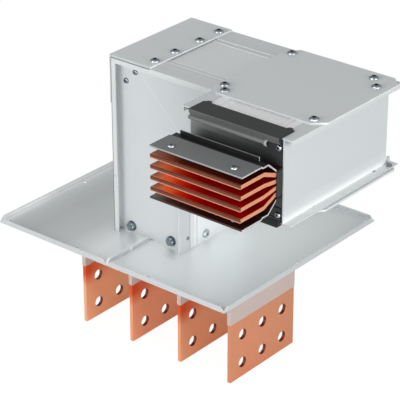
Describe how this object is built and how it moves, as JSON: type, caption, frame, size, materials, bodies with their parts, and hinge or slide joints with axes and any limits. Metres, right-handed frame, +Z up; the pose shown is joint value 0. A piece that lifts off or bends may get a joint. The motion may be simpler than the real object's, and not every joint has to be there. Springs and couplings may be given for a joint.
{
  "type": "busway feed-in elbow",
  "caption": "Busway feed-in elbow: a flanged riser turns into a run and a side branch, with jogged copper palms below the flange and flared contact blades on the branch.",
  "frame": {"origin": "centre of the flange's underside, on the riser's axis", "axes": "+Z up along the riser, +X along the run, -Y towards the branch's contact end"},
  "size_m": [0.5585, 0.444, 0.5025],
  "materials": {
    "painted_housing": "satin light grey powder coat",
    "cover_profile": "satin light grey extruded profile",
    "flange_sheet": "satin light grey sheet with soft reflections",
    "grey_shroud": "mid grey, matte",
    "dark_anodised": "dark anodised, satin",
    "bare_aluminium": "mill finish",
    "copper_bar": "bare copper, satin",
    "red_insulation": "deep red film",
    "dark_sheath": "black film",
    "clear_sleeve": "translucent grey shrink sleeve",
    "moulded_support": "black moulded support",
    "zinc_fasteners": "bright zinc"
  },
  "bodies": {
    "root": {"branch_cover_bottom": "cover_profile", "branch_cover_top": "cover_profile", "branch_spacer_bottom": "moulded_support", "branch_spacer_top": "moulded_support", "branch_wall_inner": "painted_housing", "branch_wall_outer": "painted_housing", "clamp_bolts": "zinc_fasteners", "clamp_rail_inner": "bare_aluminium", "clamp_rail_outer": "bare_aluminium", "clamp_washers": "zinc_fasteners", "conductor_1": "copper_bar", "conductor_2": "copper_bar", "conductor_3": "copper_bar", "conductor_4": "copper_bar", "contact_shroud_bottom": "grey_shroud", "contact_shroud_top": "grey_shroud", "corner_bracket": "bare_aluminium", "corner_bracket_screws": "zinc_fasteners", "corner_cap": "painted_housing", "corner_cap_screws": "zinc_fasteners", "corner_plate_bottom": "painted_housing", "corner_plate_bottom_screws": "zinc_fasteners", "corner_plate_top": "painted_housing", "corner_plate_top_screws": "zinc_fasteners", "end_frame_bottom": "dark_anodised", "end_frame_screws": "zinc_fasteners", "end_frame_top": "dark_anodised", "end_plate_bottom": "dark_anodised", "end_plate_top": "dark_anodised", "flange_left": "flange_sheet", "flange_rail_screws": "zinc_fasteners", "flange_right": "flange_sheet", "flange_seam_screws": "zinc_fasteners", "insulating_layer_1": "red_insulation", "insulating_layer_2": "red_insulation", "insulating_layer_3": "red_insulation", "pack_sheath_inner": "dark_sheath", "pack_sheath_outer": "dark_sheath", "palm_sleeve_1": "clear_sleeve", "palm_sleeve_2": "clear_sleeve", "palm_sleeve_3": "clear_sleeve", "palm_sleeve_4": "clear_sleeve", "rail_side_screws": "zinc_fasteners", "riser_cover_inner": "cover_profile", "riser_cover_outer": "cover_profile", "riser_cover_screws": "zinc_fasteners", "riser_wall_back": "painted_housing", "riser_wall_front": "painted_housing", "run_cover_bottom": "cover_profile", "run_cover_top": "cover_profile", "run_spacer_bottom": "moulded_support", "run_spacer_top": "moulded_support", "run_wall_back": "painted_housing", "run_wall_front": "painted_housing", "shroud_rivets": "zinc_fasteners"}
  },
  "joints": []
}
